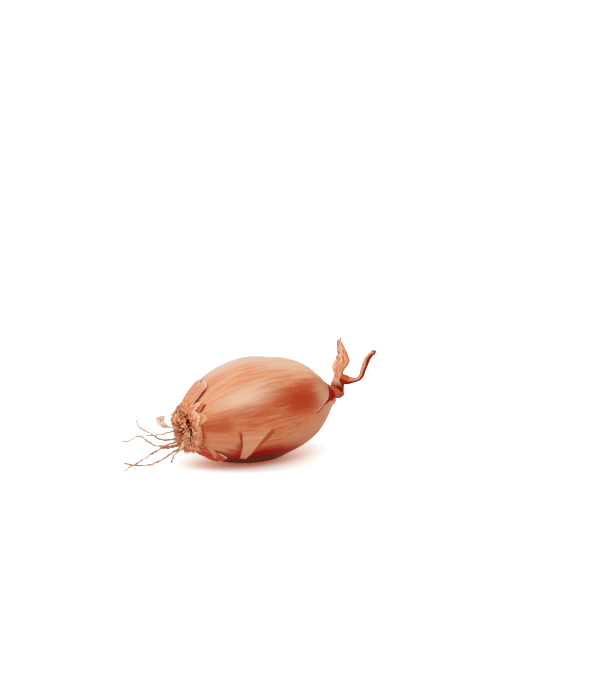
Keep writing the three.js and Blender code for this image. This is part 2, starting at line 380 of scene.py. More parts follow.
def skin_point(station, angle, lift):
    """A point over the veined surface of the bulb."""
    surface = on_bulb(station, angle)
    away = outward(angle)
    radius = (surface - root_pole).dot(away)
    top = ramp(0.2, 0.95, math.cos(math.radians(angle + 14)))
    bottom = ramp(0.5, 1, math.cos(math.radians(angle - 160))) * 0.8
    slope = RIM_SLOPE * max(top, bottom) * ramp(5.5 * MM, -1 * MM, station)
    return surface + away * (bulb_relief(station, angle, radius) + lift - slope)


BULB_SIDES = 384
BULB_RINGS = 250
END_RINGS = 14  # rings spent on each closed end
NECK_RISE = 2.0 * MM  # how far the skins gather upwards inside the neck


def make_bulb():
    bm = bmesh.new()
    bmesh.ops.create_uvsphere(bm, u_segments=BULB_SIDES, v_segments=BULB_RINGS, radius=1)
    for vertex in bm.verts:
        ring = round(math.acos(max(-1, min(1, -vertex.co.z))) / math.pi * BULB_RINGS)
        angle = math.degrees(math.atan2(vertex.co.y, vertex.co.x))
        share = (ring - END_RINGS) / (BULB_RINGS - 2 * END_RINGS)
        station = min(max(share, 0), 1) * BULB_LENGTH
        point = skin_point(station, angle, 0)
        inwards = 1 - min(ring, BULB_RINGS - ring, END_RINGS) / END_RINGS
        point -= outward(angle) * (point - root_pole).dot(outward(angle)) * inwards
        if ring < END_RINGS:
            point += axis * DISH_DEPTH * ramp(0, 0.3, inwards)
        else:
            gathers = 1 + 0.3 * noise_at(angle * 0.09, 2.5, 0)
            point += axis * NECK_RISE * ramp(-0.3, 1, inwards) * inwards * gathers
        vertex.co = point
        vertex.co.z = max(vertex.co.z, 0)
    bmesh.ops.recalc_face_normals(bm, faces=bm.faces)
    return bm


def mark_skin(bm):
    """Writes on a skin its place round the bulb, which the veins and colours follow."""
    place_layer = bm.verts.layers.float_vector.new("skin_place")
    hollow_layer = bm.verts.layers.float.new("hollow")
    lip_layer = bm.verts.layers.float.new("lip")
    for vertex in bm.verts:
        from_pole = vertex.co - root_pole
        up, forward = from_pole.dot(above), from_pole.dot(front)
        turn = math.atan2(forward, up)
        station = from_pole.dot(axis) + DISH_DEPTH
        marks = fold_marks(station, math.degrees(turn), math.hypot(up, forward))
        vertex[place_layer] = (math.cos(turn), math.sin(turn), station / BULB_LENGTH)
        vertex[hollow_layer], vertex[lip_layer] = marks


def zone(paint, station, angle, width, length, soft=0.5, stray=0):
    """A soft-edged patch round a place on the bulb, one in its middle and nought outside."""
    turn = math.radians(angle)
    middle = (math.cos(turn), math.sin(turn), station * MM / BULB_LENGTH)
    sizes = (1 / width, 1 / width, BULB_LENGTH / MM / length)
    place = paint.attribute("skin_place", "Vector")
    moved = paint.vector("SUBTRACT", place, middle)
    distance = paint.vector("LENGTH", paint.vector("MULTIPLY", moved, sizes)) + stray
    return 1 - distance.between(1 - soft, 1)


# Patches of colour on the skin, each laid over those before it: the zone's station, angle, width,
# length and softness, how far the streaks make its edge stray, its strength and its colour. The
# last three lie over the red underside. Marked rows are painted light and shade.
SKIN_PATCHES = [
    # Painted shade: a deep orange-red patch and its streaks on the flank before the neck.
    (30, 63, 0.26, 13, 0.8, 1, 0.35, (196, 84, 40)),
    (40, 55, 0.14, 8, 0.8, 1, 0.6, (198, 84, 42)),
    (37, 72, 0.42, 13, 0.8, 0.8, 1, (185, 63, 26)),
    (6, 82, 0.28, 7, 0.6, 1, 0.7, (186, 74, 36)),
    # Painted reflection: a greyish sheen by the neck.
    (48.5, 66, 0.75, 7, 0.8, 1, 0.8, (212, 156, 124)),
    (51, 92, 0.3, 5, 0.8, 1, 0.95, (213, 108, 56)),
    # Painted light: a paler patch on the upper side.
    (39, 18, 0.45, 12, 0.8, 1, 0.9, (238, 194, 162)),
    (12, -70, 0.6, 22, 0.7, 1, 0.7, (230, 176, 140)),
    (38, -88, 0.5, 14, 0.8, 1, 0.8, (176, 60, 26)),
]
LOW_PATCHES = [
    # Painted shade in the crack between the front skins.
    (12.7, 112, 0.4, 1.4, 0.5, 0, 1, (184, 34, 10)),
    # Painted shadow beside the collar's teeth, at the front skin's foot.
    (1.2, 94, 0.5, 1.5, 0.6, 1, 0.8, (176, 62, 30)),
    (40, 112, 0.5, 14, 0.8, 1, 0.6, (216, 148, 110)),
]
# Painted shadows near the root end, each as station, angle, width and length: the first list
# lies under the shoulder skin's lifted edge, the second under the collar scales' edges, and is matt.
FLAP_SHADOWS = [(2.7, 29.5, 0.09, 1.3), (4.2, 26, 0.05, 1.8), (5.8, 22.5, 0.04, 1.3)]
SCALE_SHADOWS = [(4.2 - 0.52 * step, 45 + 2.3 * step, 0.055, 0.8) for step in range(7)]
SCALE_SHADOWS += [(2.9, 68, 0.1, 0.9)]


def skin_colour(paint):
    """Streaks along the veins, with painted light that makes the top pale, and painted shade that
    makes the front of the neck deep orange and the underside red.
    """
    place = paint.attribute("skin_place", "Vector")
    broad = paint.noise(paint.stretched(place, 2.2, 1.6), 1, 2)
    streak = paint.noise(paint.stretched(place, 15, 4.5), 1, 4, 0.65)
    fine = paint.noise(paint.stretched(place, 46, 11), 1, 3, 0.65)
    stray = (streak - 0.5) * 0.7 + (fine - 0.5) * 0.5
    vein = streak.between(0.36, 0.64)

    def patches(rows):
        for *place, strays, strength, patch in rows:
            yield zone(paint, *place, stray * strays) * strength, patch

    # Painted light: upper and top make the upper side paler, where the overhead light falls.
    upper = zone(paint, 8, 18, 1.1, 24, 0.35, stray)
    top = upper.math("MAXIMUM", zone(paint, 32, -2, 1.0, 34, 0.35, stray))
    # Painted highlight: a pale band where the front box's reflection falls, which also takes more
    # coat.
    highlight_and_gloss = zone(paint, 17, 54, 0.34, 17, 0.8, stray)
    # Painted shade: the underside is deep red and dark.
    under = zone(paint, 22.5, 150, 0.71, 19, 0.35, stray * 0.3)
    scale_shadows = [zone(paint, *mark, 0.7) for mark in SCALE_SHADOWS]
    matt = under
    for scale_shadow in scale_shadows:
        matt = matt.math("MAXIMUM", scale_shadow)
    colour = paint.layered(
        paint.mix(vein, (217, 133, 86), (201, 96, 54)),
        (top, paint.mix(vein, (234, 174, 133), (228, 144, 95))),
        *patches([(20, 71, 0.24, 18, 0.7, 1, 0.75, (192, 84, 44))]),
        # Painted highlight: pale where the front box's reflection falls.
        (highlight_and_gloss * 0.8, (224, 184, 152)),
        # Painted reflection: a pale rim along the top.
        *patches([(32, -6, 0.65, 34, 0.6, 1, 0.95, (234, 202, 178))]),
        (fine.between(0.5, 0.7) * 0.45, (232, 182, 146)),
        *patches(SKIN_PATCHES),
        (under, (168, 10, 2)),
        # Painted contact shadow: dark brown on the belly, where it meets the table.
        (zone(paint, 21.5, 163, 0.67, 14, 0.2), (112, 26, 14)),
        (broad.between(0.5, 0.75) * 0.2 * (1 - under), (226, 156, 112)),
        *patches(LOW_PATCHES),
        # Painted shadows under the shoulder skin's edge and under the collar scales' edges.
        *[(zone(paint, *mark, 0.5), (188, 62, 28)) for mark in FLAP_SHADOWS],
        *[(scale_shadow, (176, 40, 8)) for scale_shadow in scale_shadows],
        # Painted highlight: the lip's lit edge is paler.
        (paint.attribute("lip") * 0.5, (226, 172, 140)),
        # The fold's hollow: the redder skin beneath, darkened as painted shade in the recess.
        (paint.attribute("hollow"), paint.mix(vein, (184, 26, 10), (156, 12, 4))),
    )
    return colour, fine, streak, highlight_and_gloss, top, matt


def bulb_paint():
    paint = Paint("glossy_skin")
    colour, fine, streak, highlight_and_gloss, top, matt = skin_colour(paint)
    dry = (1 - paint.attribute("hollow")) * (1 - matt)
    roughness = 0.36 + 0.14 * streak + 0.4 * paint.attribute("hollow")
    coat = (0.08 + 0.56 * highlight_and_gloss + 0.31 * top) * dry
    relief = fine * 0.6 + streak
    return paint.finish(colour, roughness, relief, SKIN_RELIEF, 0.03, coat, coat_roughness=0.3)


bulb_bm = make_bulb()
mark_skin(bulb_bm)
add_piece("bulb_skin", bulb_bm, bulb_paint(), "bulb")

# --------------------------------------
# Loose skins. Remnants of the outermost skin, dull and brittle. Each is still held at the root
# end or along its sides, and its torn edge stands a little off the bulb.


def curve_point(points, share):
    """A point on a smooth line through points, at a share of the way along it."""
    last = len(points) - 1
    step = min(int(share * last), last - 1)
    t = share * last - step
    near = [Vector(points[min(max(step + k, 0), last)]) for k in (-1, 0, 1, 2)]
    before, start, end, after = near
    bend = (2 * before - 5 * start + 4 * end - after) * t * t
    twist = (3 * start - before - 3 * end + after) * t * t * t
    return 0.5 * (2 * start + (end - before) * t + bend + twist)


def heading(points, share, reach):
    """The way a smooth line goes at a share of it, from a little before to a little after."""
    return curve_point(points, min(share + reach, 1)) - curve_point(points, max(share - reach, 0))


def grid(columns, rows, *layers):
    """A bmesh of a flat grid, one unit wide, and the number layers to write on it."""
    bm = bmesh.new()
    bmesh.ops.create_grid(bm, x_segments=columns, y_segments=rows, size=0.5)
    return bm, *[bm.verts.layers.float.new(name) for name in layers]


def close_up(bm):
    bmesh.ops.remove_doubles(bm, verts=bm.verts, dist=1e-6)
    bmesh.ops.recalc_face_normals(bm, faces=bm.faces)
    return bm


def thicken(bm, thickness):
    """Gives an open sheet a back and a rim, so that it is closed."""
    bm.normal_update()
    rim = [edge.link_loops[0] for edge in bm.edges if edge.is_boundary]
    rim = [(loop.vert, loop.link_loop_next.vert) for loop in rim]
    fronts = list(bm.faces)
    backs = {v: bm.verts.new(v.co - v.normal * thickness, v) for v in list(bm.verts)}
    for face in fronts:
        bm.faces.new([backs[vertex] for vertex in reversed(face.verts)])
    for start, end in rim:
        bm.faces.new((end, start, backs[start], backs[end]))
    bmesh.ops.recalc_face_normals(bm, faces=bm.faces)


def make_sheet(edges, size, thickness, shape):
    """A thin skin stretched between two edges, each given as [(station, angle, lift)] in mm.

    shape turns the share along and the share across into those of the torn sheet, a further
    lift in mm, how near the place is to a torn edge, and how much it takes the paint's foot
    colour: the bulb's own colour, or painted shade at the feet of the collar's flakes.
    """
    bm, torn_layer, blend_layer = grid(*size, "torn", "blend")
    for vertex in bm.verts:
        along, across, lift, torn, blend = shape(vertex.co.x + 0.5, vertex.co.y + 0.5)
        place = curve_point(edges[0], along).lerp(curve_point(edges[1], along), across)
        vertex.co = skin_point(place.x * MM, place.y, (place.z + lift) * MM)
        vertex[torn_layer], vertex[blend_layer] = torn, blend
    mark_skin(bm)
    thicken(bm, thickness * MM)
    return bm


def add_sheet(name, node, shape, size, thickness, first, second, paint):
    """A sheet between its first and second edge, size faces along and across, in its paint."""
    add_piece(name, make_sheet((first, second), size, thickness, shape), paint, node)


def ragged(value, seed, coarse=5, fine=19):
    """An uneven line for a torn edge, from 0 to about 1."""
    low = noise_at(value * coarse, seed, 0.5)
    high = noise_at(value * fine, seed, 7.5)
    return min(max(0.4 + 0.5 * low + 0.3 * high, 0), 1)


def loose_paint(name, main, pale, dark, foot=None, blends=False, painted_shading=()):
    """Dull skin with fine veins, paler where torn thin, foot's colour at its foot, and painted
    shading.
    """
    paint = Paint(name)
    place = paint.attribute("skin_place", "Vector")
    streak = paint.noise(paint.stretched(place, 12, 1.6), 1, 3, 0.6)
    fine = paint.noise(paint.stretched(place, 46, 5), 1, 3, 0.6)
    mottle = paint.noise(paint.place(), 900, 2)
    layers = [
        (streak.between(0.35, 0.65) * 0.5, dark),
        (fine.between(0.5, 0.75) * 0.5, pale),
        (mottle.between(0.55, 0.75) * 0.25, dark),
        (paint.attribute("torn") * 0.9, pale),
    ]
    if foot or blends:
        layers.append((paint.attribute("blend"), foot or skin_colour(paint)[0]))
    # Patches of painted light and shade.
    for shading_place, shading_colour in painted_shading:
        layers.append((zone(paint, *shading_place, 0.95, streak - 0.5) * 0.85, shading_colour))
    colour = paint.layered(main, *layers)
    relief = fine + streak * 0.6
    return paint.finish(colour, 0.5 + 0.2 * streak, relief, SKIN_RELIEF, specular=0.08)


def shoulder_shape(along, across):
    # Torn off across the veins, with a notch near the top, and free along its lower side.
    notch = 0.1 * math.exp(-(((across - 0.3) / 0.06) ** 2))
    corner = 0.08 * ramp(0.12, 0, across)
    reach = 1 - 0.07 * ragged(across, 2.0, 6, 24) - notch - corner
    side = 0.03 * ragged(along, 4.0, 3, 9) * ramp(0, 0.3, along)
    free = ramp(0.13, 0, across) * ramp(0.05, 0.4, along)
    end = ramp(0.75, 1, along)
    ripple = 0.12 * noise_at(along * 2, across * 14, 1)
    lift = -0.2 + 0.25 * end + 0.8 * free * (1 - 0.4 * end) + ripple * along
    torn = max(ramp(0.85, 1, along), ramp(0.05, 0, across) * 0.4)
    return along * reach, side + across * (1 - side), lift, torn, 0


add_sheet(
    "skin_shoulder_sheet", "skin_shoulder", shoulder_shape, (40, 110), 0.12,
    [(-0.7, 38, -0.6), (0.6, 33, 0.3), (2.6, 28.5, 0.4), (5.3, 23, 0.5), (8.2, 18.5, 0.5)],
    [(-0.7, -70, -0.6), (0.6, -66, 0.3), (2.6, -62, 0.35), (5.4, -57, 0.4), (8.6, -52, 0.5)],
    loose_paint("shoulder_skin", (230, 166, 126), (238, 206, 184), (218, 136, 90)),
)


def crack(share):
    """How far the crack wanders from its line, in mm."""
    return 0.7 * noise_at(share * 4, 2.6, 0) + 0.2 * noise_at(share * 17, 5, 0)


def front_shape(along, across):
    # Ends in a crack across the bulb; its far corner is torn off and stands up most.
    reach = 1 - 0.1 * ramp(0.72, 1, across) + crack(across) / 9 * ramp(0.5, 1, along)
    low = ramp(0.75, 1, across)
    ripple = 0.1 * noise_at(along * 3, across * 5, 4)
    free = ramp(0.75, 1, along) * ramp(0, 0.4, across)
    lift = -0.55 * ramp(0.35, 0, across) + 0.3 * free + 0.2 * low + ripple - 0.15
    blend = max(ramp(0.5, 0.12, across + 0.4 * ripple), ramp(0.3, 0, along) * 0.6)
    torn = max(ramp(0.97, 1, along), ramp(0.96, 1, across))
    return along * reach, across, lift, torn * 0.4, blend


add_sheet(
    "skin_front_sheet", "skin_front", front_shape, (60, 60), 0.12,
    [(2.2, 84, 0.2), (7.2, 84, 0.35), (12.1, 88, 0.5)],
    [(2.2, 120, 0.2), (7.8, 123, 0.35), (13.1, 119, 0.5)],
    loose_paint(
        "front_skin", (220, 145, 103), (232, 174, 138), (206, 118, 78), blends=True,
        # Painted shade along the crack and at the skin's foot beside the collar's teeth.
        painted_shading=[
            ((12.7, 112, 0.24, 1.8), (176, 50, 22)),
            ((11.4, 119, 0.1, 4.5), (176, 50, 22)),
            ((1.9, 100, 0.5, 1.5), (180, 70, 38)),
        ],
    ),
)


def pointed_shape(along, across):
    # Held along the crack's side, free along the slanted edge, and blends in at its top.
    free = ramp(0.7, 1, across)
    ripple = 0.08 * noise_at(along * 4, across * 3, 6)
    lift = -0.25 + 0.25 * free + ripple - 0.4 * ramp(0.22, 0, along)
    reach = across * (1 - 0.07 * ragged(along, 12.0, 4, 16)) + crack(along) / 9 * (1 - across)
    torn = max(ramp(0.97, 1, across), ramp(0.04, 0, across)) * 0.5
    return along, reach, lift, torn, ramp(0.36, 0.06, along)


add_sheet(
    "skin_pointed_sheet", "skin_pointed", pointed_shape, (70, 60), 0.12,
    [(12.7, 88, 0.45), (13.6, 109, 0.35), (14.0, 136, 0.35)],
    [(24.6, 90, 0.45), (21.2, 100, 0.5), (18.1, 114, 0.5), (15.6, 134, 0.6)],
    loose_paint("pointed_skin", (229, 161, 121), (236, 184, 150), (214, 134, 94), blends=True),
)


def strip_shape(along, across):
    ripple = 0.05 * noise_at(along * 5, across * 3, 9)
    fade = ramp(0.6, 1, across)
    lift = -0.3 + ripple - 0.25 * fade - 0.3 * ramp(0.15, 0, along)
    return along, across, lift, 0, max(fade * 0.7, ramp(0.2, 0, along))


add_sheet(
    "skin_strip_sheet", "skin_strip", strip_shape, (70, 16), 0.1,
    [(24.6, 92, 0.35), (21.5, 101, 0.35), (18.4, 114, 0.35), (16.4, 130, 0.35)],
    [(25.4, 93, 0.35), (24.3, 102, 0.35), (20.8, 112, 0.35), (17.4, 130, 0.35)],
    loose_paint("strip_skin", (194, 88, 46), (206, 116, 74), (166, 52, 22), blends=True),
)


def crescent_shape(along, across):
    # Curls off the bulb at its far end, where its upper edge shows pale.
    reach = 1 - 0.25 * ragged(across, 15.0, 3, 9)
    free = ramp(0.4, 1, along)
    wave = 0.5 * noise_at(along * 3.5, across * 2, 3)
    lift = -0.3 + 0.7 * free * (1 - across) + 0.2 * free + wave * ramp(0, 0.3, along)
    torn = ramp(0.12, 0.03, across) * ramp(0.6, 0.85, along)
    return along * reach, across, lift, max(torn, 0.5 * ramp(0.95, 1, along)), 0


add_sheet(
    "skin_crescent_sheet", "skin_crescent", crescent_shape, (40, 30), 0.12,
    [(1.4, 122, 0.35), (4.4, 125, 0.4), (7.4, 127, 0.6), (10.0, 132, 0.7)],
    [(1.6, 168, 0.35), (5.4, 164, 0.5), (8.6, 156, 0.8)],
    loose_paint("crescent_skin", (214, 72, 28), (246, 204, 172), (178, 26, 4)),
)


def tag_shape(along, across):
    ripple = 0.3 * noise_at(along * 3, across * 4, 13)
    reach = along * (1 - 0.2 * ragged(across, 16.0, 2, 7))
    return reach, across, ripple, 0.7 * ramp(0.75, 1, along), 0


add_sheet(
    "skin_crescent_tag", "skin_crescent", tag_shape, (16, 10), 0.1,
    [(3.0, 121, 0.6), (4.6, 131, 0.8), (6.2, 142, 0.9)],
    [(4.8, 120, 0.6), (6.2, 130, 0.8), (7.2, 141, 0.8)],
    loose_paint("torn_tag", (226, 142, 96), (246, 210, 178), (206, 96, 54)),
)

# --------------------------------------
# Collar. The stubs of older skins, torn off close to the root plate. Each stub is a fan of
# papery scales that overlap, curl and end in frayed tips.

STUBS = 11
PITCH = 360 / STUBS  # degrees from one stub to the next
FIRST_STUB = 12  # the angle of the first stub's middle
# The broad scales: angle, width in degrees, then reach, slant, lift, curl and twist in mm.
SCALES = [
    (44, 27, 4, -2.4, 0.6, 0.55, 0.2), (65, 25, 2.4, -1.6, 0.6, 0.7, 0.2),
    (66, 24, 4.6, -0.9, 0.15, 0.05, 0), (84, 17, 1.3, -0.2, 0.5, 0.5, 0.2),
    (97, 17, 0.9, 0, 0.5, 0.5, -0.3), (111, 17, 1.1, 0, 0.5, 0.5, 0.2),
    (124, 17, 1.2, 0, 0.5, 0.5, 0.2), (136, 18, 2.2, 0.3, 0.4, 0.3, 0.1),
    (149, 20, 2.2, 0, 0.3, 0.3, 0.2), (170, 24, 2, 0.4, 0.3, 0.4, -0.2),
    (193, 22, 3.4, -0.8, 0.4, 0.4, 0.3), (214, 24, 3, 0.8, 0.5, 0.7, -0.3),
    (237, 22, 4.2, -0.8, 0.45, 0.5, 0.4), (258, 20, 3.1, 0.6, 0.35, 0.4, -0.2),
    (279, 24, 3.9, 0.8, 0.2, 0.2, 0.1), (302, 20, 2, -0.4, 0.3, 0.3, 0.2),
    (326, 24, 1.2, 0, 0.1, 0.2, 0.1), (350, 22, 1.1, 0, 0.1, 0.2, 0.1),
    (372, 20, 1.4, 0, 0.1, 0.3, 0.1),
]
TEETH = 9  # short torn points in each stub
FOLDED = 3  # scales in each stub that are folded in over the dish
LOBES = 5  # wide pale flakes in each stub, on the rim
FLAKES = 40  # small curled flakes in each stub, on the way from the plate to the shoulder
BRISTLES = 22  # torn veins that stand up inside each stub

# Its foot colour is painted shade at the feet of the flakes and scales.
collar_paint = loose_paint(
    "collar_skin", (242, 154, 102), (255, 216, 180), (222, 98, 50), (178, 38, 10),
    # Painted light: a brighter orange on the ring's low, shaded side.
    painted_shading=[((0.3, 152, 0.75, 5), (255, 160, 100))],
)


def add_to(bm, part_bm):
    """Adds one small shape to a larger mesh."""
    part = bpy.data.meshes.new("part")
    part_bm.to_mesh(part)
    part_bm.free()
    bm.from_mesh(part)
    bpy.data.meshes.remove(part)


def lowness(angle):
    """How much of the collar is left: least on top, under the shoulder's torn strip."""
    return 0.35 + 0.65 * ramp(0.9, 0.3, math.cos(math.radians(angle + 10)))


def shade(angle):
    """Painted shade at the feet of the flakes: most where the near side looks into the gaps."""
    return 0.3 + 0.7 * ramp(-0.3, 0.5, math.cos(math.radians(angle - 105)))


def inset(angle):
    """How far the root plate's rim lies inside the bulb's, in mm."""
    return 2.2 + 1.3 * math.cos(math.radians(angle))


def rim_edge(base, tip, reach, lift):
    """A line from the plate's rim, over the bulb's own rim and out over its shoulder."""
    height = 0.1 + 0.6 * lowness(base) ** 2
    start = [(-0.4, base, -inset(base)), (-height, base, -1.1), (-0.4 * height, base, 0.15)]
    return start + [(reach, tip, lift)]


def make_scale(angle, width, reach, slant, lift, curl, twist, seed, size):
    """One papery scale, torn off ragged, that lies over the shoulder and curls at its end."""
    pick = random.Random(seed).uniform
    lean = pick(-0.2, 0.2) * width
    split = pick(0.25, 0.75)
    cleft_depth = pick(0, 0.08)

    def scale_shape(along, across):
        fray = ragged(across * width * 0.05, seed * 1.7, 2.5, 11)
        rounding = 0.1 * abs(2 * across - 1) ** 3
        cleft = cleft_depth * math.exp(-(((across - split) / 0.07) ** 2))
        share = along * (1 - along * (0.22 * fray + rounding + cleft))
        risen = ramp(0.2, 0.5, along)
        cup = curl * ramp(0.55, 1, along) ** 2
        tilt = twist * (across - 0.3) * ramp(0.35, 0.9, along)
        pleat = 0.4 * noise_at(along * 2, across * width * 0.2, seed)
        edge = min(across, 1 - across) * width
        torn = max(ramp(0.82, 1, along + 0.15 * fray), ramp(1, 0, edge) * 0.4)
        torn *= min(0.25 + 0.9 * curl, 1)
        height = lift * risen + cup + tilt + pleat * ramp(0.1, 0.4, along)
        torn *= ramp(0.4, 0.6, along)
        # Painted shade at the scale's foot, laid on with the paint's foot colour.
        foot = shade(angle) * ramp(0.62, 0.3, along)
        return share - 0.08 * cup * along, across, height, torn, foot

    edges = [
        rim_edge(
            angle + side * width / 2, angle + lean + side * width * 0.42, reach + side * slant / 2, 0
        )
        for side in (-1, 1)
    ]
    return make_sheet(edges, size, 0.08, scale_shape)


def make_folded(angle, width, reach, seed):
    """A scale folded over the bulb's rim, with its torn end over the dish."""
    pick = random.Random(seed).uniform
    lean = pick(-0.3, 0.3) * width
    height = pick(0.05, 0.3)

    def edge(side):
        base, tip = angle + side * width / 2, angle + lean + side * width * 0.3
        rim = [(1.6, base, 0.25), (0.2, base, 0.4), (-height, base, -0.5)]
        return rim + [(-height - 0.35, tip, -0.6 - reach)]

    def folded_shape(along, across):
        fray = ragged(across * 1.4, seed * 2.3, 2.5, 8)
        pleat = 0.22 * noise_at(along * 1.5, across * width * 0.5, seed)
        share = along * (1 - 0.35 * fray * along)
        return share, across, pleat, ramp(0.85, 1, along + 0.15 * fray), 0

    return make_sheet((edge(-1), edge(1)), (20, 14), 0.08, folded_shape)


def make_flake(angle, share, width, size, seed):
    """A narrow flake of skin that stands up from the collar and curls over at its tip."""
    pick = random.Random(seed).uniform
    foot = curve_point(rim_edge(angle, angle, 1.8, 0), share)
    lean = pick(-9, 9)
    pale = pick(0.2, 1)
    steep = pick(-0.1, 1)
    curl = pick(-0.3, 0.5)
    steps = [(0, 0, -0.2), (-0.5 * steep, lean * 0.3, 0.3), (-0.7 * steep, lean * 0.7, 0.8)]
    steps += [(-0.7 * steep + curl, lean, 1.3)]
    ends = []
    for side in (-1, 1):
        spans = [side * width * share / 2 for share in (1, 1, 0.8, 0.25)]
        ways = [(a * size, b + span, c * size) for (a, b, c), span in zip(steps, spans)]
        ends.append([tuple(foot + Vector(way)) for way in ways])

    def flake_shape(along, across):
        pleat = 0.2 * noise_at(along * 3, across * 2, seed)
        torn = pale * ramp(0.3, 0.8, along)
        return along, across, pleat * along, torn, shade(angle) * ramp(0.5, 0.15, along)

    return make_sheet(ends, (8, 2), 0.06, flake_shape)


def make_bristle(angle, reach, lift, seed):
    """A torn vein: a narrow strip that stands away from the collar."""
    chance = random.Random(seed)
    tip = angle + chance.uniform(-12, 12)
    pale = chance.random()

    def bristle_shape(along, across):
        wave = 0.5 * noise_at(along * 3, seed, 2)
        torn = pale * ramp(0.25, 0.6, along)
        return along, across, wave * along, torn, shade(angle) * ramp(0.6, 0.35, along)

    edges = [rim_edge(angle + side, tip + side * 0.3, reach, lift) for side in (-1.2, 1.2)]
    return make_sheet(edges, (9, 1), 0.12, bristle_shape)


def stub_of(angle):
    return round((angle - FIRST_STUB) / PITCH) % STUBS


for index in range(STUBS):
    pick = random.Random(40 + index).uniform
    stub_bm = bmesh.new()
    stub_middle = FIRST_STUB + PITCH * index
    low = lowness(stub_middle)
    for seed, scale in enumerate(SCALES):
        if stub_of(scale[0]) == index:
            add_to(stub_bm, make_scale(*scale, seed * 13 + 5, (26, 22)))
    for tooth in range(TEETH):
        angle = stub_middle + PITCH * ((tooth + 0.5) / TEETH - 0.5) + pick(-2, 2)
        crowded = ramp(34, 20, abs(angle - 56))
        reach = pick(0.3, 1.1) * low * (1 - 0.6 * crowded)
        lift, curl = pick(0.3, 0.9) * low, pick(0.1, 0.7) * low
        width, twist = pick(5, 10), pick(-0.8, 0.8) * low
        slant, seed = pick(-0.4, 0.4), index * 100 + tooth
        add_to(stub_bm, make_scale(angle, width, reach, slant, lift, curl, twist, seed, (16, 7)))
    for fold in range(FOLDED):
        angle = stub_middle + PITCH * ((fold + 0.5) / FOLDED - 0.5)
        width = PITCH / FOLDED * pick(1.1, 1.6)
        reach = inset(angle) * pick(0.2, 0.5) * (1.5 - low)
        add_to(stub_bm, make_folded(angle, width, reach, index * 70 + fold))
    for lobe in range(LOBES):
        angle = stub_middle + PITCH * ((lobe + pick(0.2, 0.8)) / LOBES - 0.5)
        size = pick(1.1, 1.9) * low * (0.4 + 0.6 * shade(stub_middle))
        width = pick(8, 13)
        share = pick(0.4, 0.75)
        add_to(stub_bm, make_flake(angle, share, width, size, index * 30 + lobe))
    for flake in range(round(FLAKES * low)):
        angle = stub_middle + PITCH * pick(-0.5, 0.5)
        size, width = pick(0.6, 1.7) * (0.1 + 0.9 * low), pick(1.5, 4)
        share = pick(0.05, 0.8)
        add_to(stub_bm, make_flake(angle, share, width, size, index * 90 + flake))
    for bristle in range(BRISTLES):
        angle = stub_middle + PITCH * pick(-0.5, 0.5)
        combed = 1.2 * ramp(45, 20, abs(angle - 140))
        reach = pick(-0.9, 1.3) * (low + combed)
        lift = pick(0.2, 1.1) * low / (1 + combed)
        add_to(stub_bm, make_bristle(angle, reach, lift, index * 50 + bristle))
    name, node = f"collar_scales_{index + 1}", f"collar_stub_{index + 1}"
    add_piece(name, stub_bm, collar_paint, node)

# --------------------------------------
# Root plate. The corky disc at the root end, brown, pitted and hidden by the roots. Its dark
# red-brown is partly painted shade, for the deep middle of the tuft.

plate_low, plate_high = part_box("root_plate")
plate_middle = (Vector(plate_low) + Vector(plate_high)) / 2


def plate_paint():
    paint = Paint("cork")
    grain = paint.noise(paint.place(), 1400, 4, 0.6)
    colour = paint.mix(grain.between(0.35, 0.65), (116, 14, 2), (170, 44, 14))
    return paint.finish(colour, 0.85, grain, 0.3 * MM, specular=0.05)


def make_plate():
    bm = merged_copy("root_plate")
    refine(bm, 3)
    for vertex in bm.verts:
        pits = noise.noise(vertex.co * 1500) + 0.5 * noise.noise(vertex.co * 3500)
        vertex.co += (vertex.co - plate_middle).normalized() * pits * 0.12 * MM
    bmesh.ops.recalc_face_normals(bm, faces=bm.faces)
    return bm


add_piece("root_plate_cork", make_plate(), plate_paint(), "root_plate")

# --------------------------------------
# Roots. Dried to limp brown threads. The long ones trail over the table, and the short ones
# stand in a tangled tuft on the plate.


def stalk_rings(node, start):
    """The rings of a CAD stalk, as lists of points, in order from the end nearer to start."""
    bm = merged_copy(node)

    def rings_from(first):
        seen, rings = {first}, [[first]]
        while rings[-1]:
            edges = [edge for vertex in rings[-1] for edge in vertex.link_edges]
            ends = dict.fromkeys(vertex for edge in edges for vertex in edge.verts)
            rings.append([vertex for vertex in ends if vertex not in seen])
            seen.update(ends)
        return rings[:-1]

    caps = sorted(bm.verts, key=lambda vertex: len(rings_from(vertex)))[-2:]
    first = min(caps, key=lambda vertex: (vertex.co - start).length)
    rings = [[vertex.co.copy() for vertex in ring] for ring in rings_from(first)]
    bm.free()
    return rings[1:-1]


def ring_frame(ring):
    """A ring's middle, the way to its widest point, and its half width and half thickness."""
    middle = sum(ring, Vector()) / len(ring)
    wide = max((point - middle for point in ring), key=lambda way: way.length)
    across = wide.normalized()
    thin = max((point - middle).cross(across).length for point in ring)
    return middle, across, wide.length, thin


def make_thread(points, radii, sides, steps, wobble, seed):
    """A closed thread along points, with an uneven thickness, kinks and pointed ends."""
    bm, along_layer = grid(steps, sides, "along")
    for vertex in bm.verts:
        along, turn = vertex.co.x + 0.5, (vertex.co.y + 0.5) * math.tau
        middle = curve_point(points, along)
        ahead = heading(points, along, 0.02)
        side = ahead.cross(Vector((0.3, 0.2, 1))).normalized()
        up = side.cross(ahead).normalized()
        kink = Vector([noise_at(along * len(points), seed, z) for z in (3, 12, 21)])
        swell = 1 + 0.3 * noise_at(along * 14, seed, 9)
        radius = curve_point([(r, 0, 0) for r in radii], along).x * swell
        radius *= ramp(0, 0.03, along) * ramp(1, 0.96, along)
        round_way = side * math.cos(turn) + up * math.sin(turn)
        vertex.co = middle + kink * wobble * ramp(0, 0.1, along) + round_way * radius
        vertex[along_layer] = along
    return close_up(bm)


